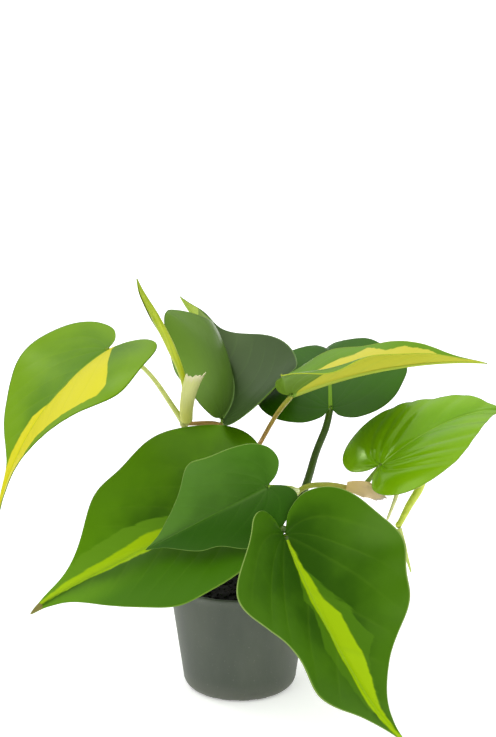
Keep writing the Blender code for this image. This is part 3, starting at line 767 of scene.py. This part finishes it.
VINES = {
    "vine_left": (
        [Stalk([(-8, 10, 31), (-8, 10, 44), (-9, 12, 62), (-7, 14, 84), (-6, 17, 102),
                (-9, 13, 110), (-23, 7, 112)],
               (1.5, 1.5, 1.5, 1.4, 1.2, 1.0, 0.9),
               (SOIL_STALK, GREEN_STALK, GREEN_STALK, GREEN_STALK, OLIVE, BROWN, BROWN)),
         Stalk([(-9, 12, 62), (-6, 6, 71), (0, -3, 79), tip_of("lower_left")],
               (1.5, 1.2, 1.1, 1.2), (GREEN_STALK, GREEN_STALK)),
         Stalk([(-7, 16, 106), (-7, 15, 110), tip_of("upper_middle")], (1.2, 1.1, 1.3),
               (OLIVE, srgb(140, 186, 60))),
         Stalk([(-23, 7, 112), (-27, 5, 119), (-35, -3, 134), (-42, -7, 142),
                tip_of("upper_left")],
               (1.5, 1.2, 1.0, 0.9, 1.1), (PALE_STALK, PALE_STALK, srgb(150, 172, 60)))],
        [((-9, 12, 62), 2.0), ((-7, 16, 106), 1.6), ((-23, 7, 112), 1.9)]),
    "vine_middle": (
        [Stalk([(3, 9, 31), (3, 9, 44), (3, 9, 54), (4, 9, 64)], (1.8, 1.8, 1.8, 1.6),
               (SOIL_STALK, GREEN_STALK)),
         Stalk([(3, 9, 54), (8, 0, 64), (15, -12, 78), (23, -18, 90), (22, -28, 95),
                (19, -35, 98), tip_of("small_front")],
               (1.5, 1.2, 1.1, 1.0, 0.9, 0.9, 1.0), (GREEN_STALK, PALE_STALK, GREEN_STALK)),
         Stalk([(4, 9, 64), (3, 12, 82), (5, 9, 96), (9, 2, 106), (15, -8, 120),
                tip_of("folded_right")],
               (1.5, 1.2, 1.1, 1.0, 1.0, 1.1), (BROWN, ORANGE, ORANGE, OLIVE)),
         Stalk([(4, 9, 64), (16, 8, 71), (26, 7, 81), (32, 9, 99), (36, 11, 109),
                tip_of("back_right")],
               (2.0, 1.9, 1.8, 1.6, 1.6, 1.5), (DARK_STALK, DARK_STALK, srgb(74, 106, 12)))],
        [((3, 9, 54), 2.3), ((4, 9, 64), 2.3)]),
    "vine_right": (
        [Stalk([(13, -3, 31), (13, -3, 44), (14, -4, 58), (18, -4, 75), (25, -5, 87),
                (36, -7, 90), (50, -8, 88), (60, -5, 88), (69, -2, 93), (75, -2, 89),
                (70, -3, 79), (66, -4, 71)],
               (1.5, 1.5, 1.5, 1.3, 1.2, 1.1, 1.2, 1.3, 1.5, 1.9, 1.6, 1.2),
               (SOIL_STALK, GREEN_STALK, OLIVE, OLIVE, srgb(176, 156, 78),
                LIME_STALK, LIME_STALK, LIME_STALK)),
         Stalk([(14, -4, 58), (18, -18, 62), (22, -34, 67), (22, -43, 74),
                tip_of("lower_right")],
               (1.5, 1.2, 1.1, 1.1, 1.4), (GREEN_STALK, DARK_STALK, DARK_STALK)),
         Stalk([(50, -8, 88), (53, -7.5, 92), tip_of("right")], (1.3, 1.1, 1.0),
               (srgb(130, 156, 60), srgb(120, 155, 40))),
         Stalk([(65, -3, 90), (65, -4, 85), (61, -6, 74)], (1.0, 1.0, 0.6),
               (ROOT_COLOUR, ROOT_COLOUR))],
        [((14, -4, 58), 2.0), ((50, -8, 88), 1.9), ((75, -2, 89), 2.1), ((66, -4.2, 71.5), 1.45),
         ((17.4, -47.2, 85), 1.5)]),
}


# %% The skin of a vine
def stem_material():
    """Fleshy stem: its painted colour, faintly mottled, with a soft shine."""
    material, shader, wire = new_material("stem_skin", 0.4, Specular_IOR_Level=0.4)
    paint_colour = wire.node("VertexColor", layer_name="paint")
    place = wire.node("TexCoord", output=3)
    mottle = wire.node("TexNoise", {"Vector": place, "Scale": 350.0, "Detail": 3.0})
    colour = (mottle.ramp(0.35, 0.7) * 0.5).mix(paint_colour, (0.72, 0.72, 0.6), "MULTIPLY")
    finish(shader, colour, 0.3 + mottle * 0.25, mottle, strength=0.25, distance=0.2)
    return material


stem_skin = stem_material()
for name, (stalks, knots) in VINES.items():
    bm = bmesh.new()
    for stalk in stalks:
        stalk.add(bm)
    for centre, radius in knots:
        add_knot(bm, centre, radius)
    bmesh.ops.remove_doubles(bm, verts=bm.verts, dist=0.02 * MM)
    bmesh.ops.recalc_face_normals(bm, faces=bm.faces)
    vine = as_object(name + "_skin", bm, [stem_skin])
    remesh = vine.modifiers.new("one skin", "REMESH")
    remesh.mode = "VOXEL"
    remesh.voxel_size = SKIN * MM
    smooth = vine.modifiers.new("rounded joints", "SMOOTH")
    smooth.factor = 0.5
    smooth.iterations = 5
    bake_modifiers(vine)
    paint(vine, stalks)
    stands_for(vine, name, "stem")
    print(vine.name, len(vine.data.polygons), "faces")

# %% [markdown]
# ## The rolled leaf, the shoot tip and the sheaths
# A new leaf comes out rolled up like a scroll. A grid bent around a slim path does the same: its
# radius grows a little with the angle, so that one edge laps over the other. The sheaths that
# protected it stay behind as dry papery half tubes with a frayed end.

# %% Rolled young leaves
ROLL_TURNS, ROLL_LAP = 1.35, 0.35


def make_roll(name, points, radii, twist, material):
    """A leaf rolled around a path, one edge lapping over the other."""
    spread = np.linspace(0, 1, len(radii))

    def shape(along, around):
        radius = np.interp(along, spread, radii) * (1 - ROLL_LAP * (1 - around))
        return along, radius, 2 * math.pi * (ROLL_TURNS * around + twist * along)

    bm = bmesh.new()
    along, around = sweep(bm, points, shape, 90, 36)
    roll_map = bm.loops.layers.uv.new("roll")
    for face in bm.faces:
        for loop in face.loops:
            loop[roll_map].uv = (around[loop.vert.index], along[loop.vert.index])
    roll = as_object(name, bm, [material])
    sheet = roll.modifiers.new("thickness", "SOLIDIFY")
    sheet.thickness = 0.2 * MM
    return roll


def young_material(name, green, pale, dark):
    """Tender yellow-green with paler streaks, darker to the tip, and a painted shade line along the
    lapping edge.
    """
    material, shader, wire = new_material(name, 0.35, Specular_IOR_Level=0.4)
    uv = wire.node("UVMap", uv_map="roll")
    around = uv.node("SeparateXYZ", {"Vector": uv})
    along = Wire(uv.tree, around.socket.node.outputs["Y"])
    stretch = uv.node("Mapping", {"Vector": uv, "Scale": (9.0, 1.5, 1.0)})
    fibre = uv.node("TexNoise", {"Vector": stretch, "Scale": 3.0, "Detail": 4.0})
    colour = fibre.ramp(0.3, 0.7).mix(green, pale)
    colour = (along.ramp(0.3, 1.0) * 0.7).mix(colour, dark)
    # Painted shade: a dark line along the lapping edge, where it overlaps the turn beneath.
    colour = around.ramp(0.965, 0.98).mix(colour, tuple(c * 0.8 for c in dark))
    finish(shader, colour, 0.3 + fibre * 0.2, fibre, strength=0.3, distance=0.25)
    return material


spear = make_roll("rolled_leaf", [(-22.5, 4.8, 114.2), (-23, 3, 131), (-28, -2, 147),
                                  (-34, -4, 160), (-39, -5, 170), (-41, -5, 176)],
                  (1.0, 1.3, 2.1, 2.1, 1.3, 0.3), 0.6,
                  young_material("young_spear", srgb(164, 182, 16), srgb(196, 206, 50),
                                 srgb(118, 146, 12)))
stands_for(spear, "new_leaf", "young_growth")
shoot = make_roll("rolled_shoot", [(66.3, -5.3, 70.3), (68, -9, 64), (71, -10, 53)],
                  (1.2, 1.3, 0.35), 0.4,
                  young_material("young_shoot", srgb(196, 210, 96), srgb(214, 222, 140),
                                 srgb(176, 200, 84)))
stands_for(shoot, "shoot_tip", "young_growth")
print("rolled:", len(spear.data.polygons) + len(shoot.data.polygons), "faces")

# %% Dry sheaths
SHEATH_WRAP = math.radians(150)


def make_sheath(name, points, radii, facing, slant, material):
    """A papery half tube with a slanted, frayed end."""
    spread = np.linspace(0, 1, len(radii))

    def shape(along, around):
        fray = 0.012 * np.sin(31 * around) + 0.012 * np.sin(13 * around + 1)
        end = 1 - max(slant, 0) + slant * around + fray
        share = np.clip(along * end, 0, 1)
        curl = 1 + 0.06 * np.sin(9 * along + 4 * around)
        return share, np.interp(share, spread, radii) * curl, SHEATH_WRAP * (around - 0.5)

    bm = bmesh.new()
    along, around = sweep(bm, points, shape, 50, 40, facing)
    sheath_map = bm.loops.layers.uv.new("sheath")
    for face in bm.faces:
        for loop in face.loops:
            loop[sheath_map].uv = (around[loop.vert.index], along[loop.vert.index])
    sheath = as_object(name, bm, [material])
    sheet = sheath.modifiers.new("thickness", "SOLIDIFY")
    sheet.thickness = 0.25 * MM
    sheet.offset = 0
    return sheath


def sheath_material(name, base, dry, end):
    """Papery and fibrous: greener where it is attached, drier towards its end."""
    material, shader, wire = new_material(name, 0.6, Specular_IOR_Level=0.3)
    uv = wire.node("UVMap", uv_map="sheath")
    along = Wire(uv.tree, uv.node("SeparateXYZ", {"Vector": uv}).socket.node.outputs["Y"])
    stretch = uv.node("Mapping", {"Vector": uv, "Scale": (14.0, 1.2, 1.0)})
    fibre = uv.node("TexNoise", {"Vector": stretch, "Scale": 2.5, "Detail": 5.0})
    colour = (along + (fibre - 0.5) * 0.5).ramp(0.1, 0.8).mix(base, dry)
    colour = (along + (fibre - 0.5) * 0.2).ramp(0.86, 1.0).mix(colour, end)
    colour = (fibre.ramp(0.45, 0.8) * 0.4).mix(colour, (0.75, 0.72, 0.6), "MULTIPLY")
    finish(shader, colour, 0.5 + fibre * 0.25, fibre, strength=0.5, distance=0.3)
    return material


left_sheath = make_sheath(
    "papery_sheath_left", [(-22, 5.5, 114.5), (-21.5, 0, 125), (-17.4, -2.4, 138)], (2.6, 3.0, 3.9),
    (0.2, -1, 0), 0.12, sheath_material("cream_sheath", srgb(206, 208, 100), srgb(206, 210, 134),
                                        srgb(220, 214, 174)))
stands_for(left_sheath, "sheath_left", "dry_sheath")
right_sheath = make_sheath(
    "papery_sheath_right", [(44, -9, 90), (52, -10, 89), (60, -10, 84)], (2.0, 3.6, 1.2),
    (0, -1, 0.1), -0.2, sheath_material("pink_sheath", srgb(206, 180, 116), srgb(212, 186, 144),
                                        srgb(186, 172, 160)))
stands_for(right_sheath, "sheath_right", "dry_sheath")

# %% [markdown]
# ## The pot
# Nursery pots are moulded from thin recycled plastic: matte, dark grey, a little streaky, with a
# row of small notches around the foot so that water can leave. One outline, spun around the
# axis, makes the body. Its foot is then raised where a notch is.

# %% Pot
RIM_RADIUS, POT_HEIGHT = 30, 48
FOOT_RADIUS, CORNER_RADIUS, CORNER_HEIGHT = 20, 24, 4.5
WALL, FOOT_HEIGHT, FLOOR_TOP, PAD_RADIUS = 1.2, 1.2, 2.6, 8
NOTCHES, NOTCH_WIDTH, NOTCH_HEIGHT = 18, 3.2, 0.9
POT_STEPS = 288


def wall_radius(height):
    share = (height - CORNER_HEIGHT) / (POT_HEIGHT - CORNER_HEIGHT)
    return CORNER_RADIUS + (RIM_RADIUS - CORNER_RADIUS) * share


def pot_outline():
    """Radius and height from the middle of the underside, over the rim, to the middle inside."""
    quarter = [math.radians(9 * step) for step in range(11)]
    corner = [(FOOT_RADIUS + (CORNER_RADIUS - FOOT_RADIUS) * math.sin(a),
               CORNER_HEIGHT * (1 - math.cos(a))) for a in quarter]
    wall = [(wall_radius(height), height) for height in (12, 20, 28, 36, 44, 46.4)]
    lip = [(RIM_RADIUS, 46.6), (RIM_RADIUS, 47.6), (RIM_RADIUS - 0.2, 47.9),
           (RIM_RADIUS - 0.6, 48), (RIM_RADIUS - 1.0, 47.9), (RIM_RADIUS - WALL, 47.6)]
    inside = [(wall_radius(height) - WALL, height) for height in (40, 25, 8)]
    floor = [(wall_radius(5) - WALL - 2, FLOOR_TOP), (0, FLOOR_TOP)]
    underside = [(0, 0), (PAD_RADIUS, 0), (PAD_RADIUS, FOOT_HEIGHT), (16.5, FOOT_HEIGHT), (16.5, 0)]
    return underside + corner + wall + lip + inside + floor


def make_pot():
    bm = bmesh.new()
    points = [bm.verts.new((radius * MM, 0, height * MM)) for radius, height in pot_outline()]
    edges = [bm.edges.new(pair) for pair in zip(points, points[1:])]
    bmesh.ops.spin(bm, geom=points + edges, axis=(0, 0, 1), cent=(0, 0, 0),
                   angle=2 * math.pi, steps=POT_STEPS, use_merge=True)
    bmesh.ops.remove_doubles(bm, verts=bm.verts, dist=0.005 * MM)
    for vert in bm.verts:
        radius = math.hypot(vert.co.x, vert.co.y) / MM
        turn = math.atan2(vert.co.y, vert.co.x) / (2 * math.pi) * NOTCHES - 0.25
        aside = abs((turn + 0.5) % 1 - 0.5) * 2 * math.pi * FOOT_RADIUS / NOTCHES
        if radius > FOOT_RADIUS - 2 and aside < NOTCH_WIDTH / 2:
            vert.co.z = max(vert.co.z, NOTCH_HEIGHT * MM)
    bmesh.ops.recalc_face_normals(bm, faces=bm.faces)
    return bm


def pot_material():
    """Matte recycled plastic: dark grey, faintly streaked around, paler towards the foot."""
    material, shader, wire = new_material("recycled_plastic", 0.55, Specular_IOR_Level=0.4)
    place = wire.node("TexCoord", output=3)
    height = wire.node("SeparateXYZ", {"Vector": place}, output=2)
    stretch = wire.node("Mapping", {"Vector": place, "Scale": (1.0, 1.0, 0.35)})
    cloud = wire.node("TexNoise", {"Vector": stretch, "Scale": 60.0, "Detail": 5.0})
    speck = wire.node("TexNoise", {"Vector": place, "Scale": 1400.0, "Detail": 2.0})
    colour = cloud.ramp(0.3, 0.75).mix(srgb(66, 73, 62), srgb(82, 88, 76))
    # Lighter grey mixed in over the lowest 2 to 14 mm of the pot.
    paler_foot = (1 - (height + cloud * 0.008).ramp(0.002, 0.014)) * 0.35
    colour = paler_foot.mix(colour, srgb(128, 128, 116))
    colour = (speck.ramp(0.68, 0.76) * 0.25).mix(colour, srgb(150, 150, 140))
    finish(shader, colour, 0.5 + (cloud - 0.5) * 0.3, speck, strength=0.3, distance=0.12)
    return material


pot = as_object("moulded_pot", make_pot(), [pot_material()])
stands_for(pot, "pot", "pot_plastic")
print("pot:", len(pot.data.polygons), "faces")

# %% [markdown]
# ## Potting soil
# Peat soil is nearly black when moist, crumbly, and never level. A turned disc follows the slow
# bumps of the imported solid, and a few hundred small crumbs, each a ball of 20 faces squashed in
# its own way, are pressed into its top.

# %% Soil
SOIL_EDGE, SOIL_CROWN, SOIL_BUMP = 41.5, 1.5, 0.5
SOIL_RADIUS = wall_radius(SOIL_EDGE) - WALL - 0.4
CRUMBS = 420


def soil_height(x, y):
    share = min(math.hypot(x, y) / RIM_RADIUS, 1.0)
    bumps = math.sin(0.45 * x + 1.0) * math.cos(0.38 * y) + 0.6 * math.sin(0.8 * y - 0.5 * x)
    return SOIL_EDGE + (SOIL_CROWN + SOIL_BUMP * bumps) * (1 - share**2)


def make_soil():
    bm = bmesh.new()
    bmesh.ops.create_cone(bm, cap_ends=True, segments=96, depth=30 * MM,
                          radius1=(wall_radius(11.5) - WALL - 0.4) * MM, radius2=SOIL_RADIUS * MM)
    bmesh.ops.translate(bm, verts=bm.verts, vec=(0, 0, (SOIL_EDGE - 15) * MM))
    top = [face for face in bm.faces if face.normal.z > 0.9]
    for _ in range(13):
        bmesh.ops.inset_region(bm, faces=top, thickness=1.9 * MM, use_even_offset=True)
    for vert in bm.verts:
        if vert.co.z > (SOIL_EDGE - 0.1) * MM:
            vert.co.z = soil_height(vert.co.x / MM, vert.co.y / MM) * MM
    chance = np.random.default_rng(6)
    for _ in range(CRUMBS):
        away = SOIL_RADIUS * math.sqrt(chance.uniform(0.0, 0.92))
        turn = chance.uniform(0, 2 * math.pi)
        x, y = away * math.cos(turn), away * math.sin(turn)
        size = chance.uniform(0.4, 1.3) * MM
        place = Matrix.Translation(Vector((x, y, soil_height(x, y))) * MM)
        place @= Matrix.Rotation(chance.uniform(0, math.pi), 4, Vector(chance.uniform(-1, 1, 3)))
        place @= Matrix.Diagonal((1.0, chance.uniform(0.5, 1.0), chance.uniform(0.4, 0.9), 1.0))
        bmesh.ops.create_icosphere(bm, subdivisions=1, radius=size, matrix=place)
    return bm


def soil_material():
    """Moist peat: almost black, with a few paler fibres."""
    material, shader, wire = new_material("moist_peat", 0.9, Specular_IOR_Level=0.2)
    place = wire.node("TexCoord", output=3)
    grain = wire.node("TexNoise", {"Vector": place, "Scale": 700.0, "Detail": 5.0})
    clump = wire.node("TexNoise", {"Vector": place, "Scale": 120.0, "Detail": 2.0})
    colour = clump.ramp(0.3, 0.7).mix(srgb(6, 6, 4), srgb(16, 13, 10))
    colour = (grain.ramp(0.62, 0.74) * 0.5).mix(colour, srgb(44, 35, 24))
    finish(shader, colour, 0.8 + grain * 0.15, grain, strength=0.8, distance=0.6)
    return material


soil = as_object("crumbly_soil", make_soil(), [soil_material()])
stands_for(soil, "soil", "potting_soil")
print("soil:", len(soil.data.polygons), "faces")

# %% [markdown]
# ## The camera, the light and the floor
# The plant is seen from slightly above with a long lens. Soft light comes from above, more of it
# from the left, and little from the horizon, so that waxy leaves shine on top and stay deep
# green in front.

# %% Camera
CAMERA_PLACE, CAMERA_AIM = Vector((0.0035, -0.713, 0.322)), Vector((0.0035, 0, 0.1375))
camera_data = bpy.data.cameras.new("camera")
camera_data.sensor_width = 36
camera_data.lens = 88.12
camera = bpy.data.objects.new("camera", camera_data)
camera.location = CAMERA_PLACE
camera.rotation_euler = (CAMERA_AIM - CAMERA_PLACE).to_track_quat("-Z", "Y").to_euler()
bpy.context.scene.collection.objects.link(camera)
bpy.context.scene.camera = camera

# %% Floor
bm = bmesh.new()
bmesh.ops.create_circle(bm, cap_ends=True, segments=64, radius=12)
floor_material, floor_shader, floor_wire = new_material("white_floor", 0.8, Specular_IOR_Level=0.1)
cloud = floor_wire.node("TexNoise", {"Vector": floor_wire.node("TexCoord", output=3), "Scale": 3.0})
finish(floor_shader, cloud.mix((0.93, 0.93, 0.93), (0.95, 0.95, 0.95)))
floor_shader.inputs["Emission Color"].default_value = (1, 1, 1, 1)
floor_shader.inputs["Emission Strength"].default_value = 0.35
floor = as_object("floor", bm, [floor_material])

# %% Sky and lamps
bpy.context.scene.view_settings.view_transform = "Standard"
world = bpy.data.worlds.new("soft_sky")
world.use_nodes = True
sky = Wire(world.node_tree)
height = sky.node("SeparateXYZ", {"Vector": sky.node("TexCoord")}, output=2)
leftward = Wire(sky.tree, height.socket.node.outputs["X"]) * -1.0
strength = 0.15 + height.ramp(0.05, 0.8) * 0.95
strength = strength + leftward.ramp(-0.2, 0.9) * height.ramp(0.0, 0.4) * 0.4
background = world.node_tree.nodes["Background"]
background.inputs["Color"].default_value = (1, 1, 1, 1)
plug(world.node_tree, background.inputs["Strength"], strength)
bpy.context.scene.world = world


def add_sun(name, place, strength, softness):
    """A lamp that shines from the direction of place, softened over an angle in degrees."""
    lamp = bpy.data.lights.new(name, "SUN")
    lamp.energy = strength
    lamp.angle = math.radians(softness)
    light = bpy.data.objects.new(name, lamp)
    light.rotation_euler = (-Vector(place)).to_track_quat("-Z", "Y").to_euler()
    bpy.context.scene.collection.objects.link(light)


add_sun("key", (-0.6, -0.7, 1.3), 0.75, 45)
add_sun("glint", (-0.5, 0.2, 0.9), 0.45, 14)
add_sun("fill", (0.9, -0.5, 0.9), 0.5, 70)
